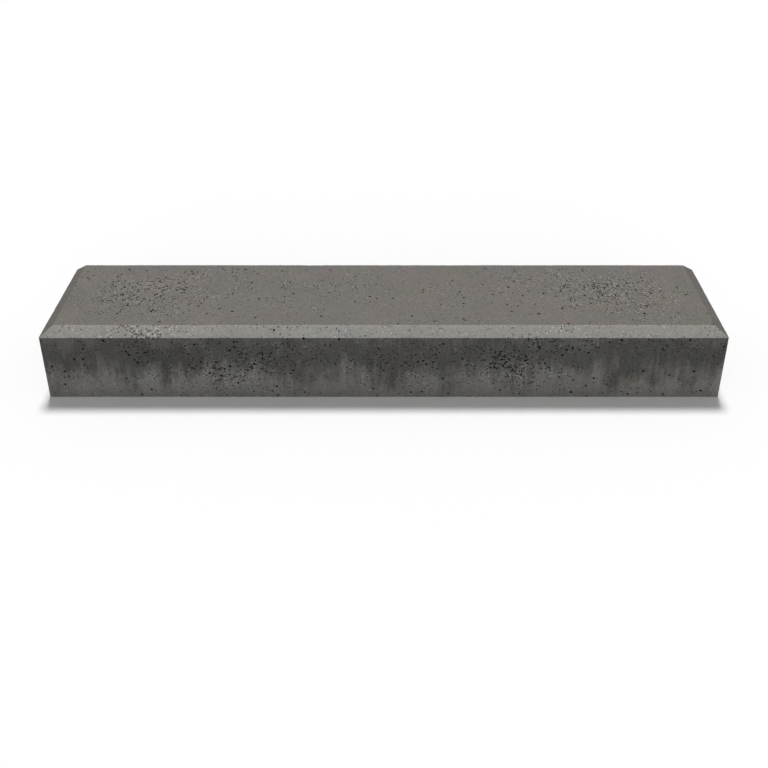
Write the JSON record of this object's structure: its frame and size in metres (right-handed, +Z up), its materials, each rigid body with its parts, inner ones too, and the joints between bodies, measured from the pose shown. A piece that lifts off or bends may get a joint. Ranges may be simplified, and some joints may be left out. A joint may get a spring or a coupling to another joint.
{
  "type": "concrete sleeper",
  "caption": "Solid cast-concrete sleeper block with a flat base, upright sides and a flat top bevelled along every edge, for garden edging, paving and low walls.",
  "frame": {"origin": "centre of the base, the flat face it rests on", "axes": "+X along the length, +Y across the width, +Z up from the base to the bevelled top"},
  "size_m": [1, 0.2, 0.12],
  "materials": {
    "concrete": "matt dark-grey cast concrete with small open pores, mottled and slightly streaked"
  },
  "bodies": {
    "root": {"concrete_sleeper": "concrete"}
  },
  "joints": []
}
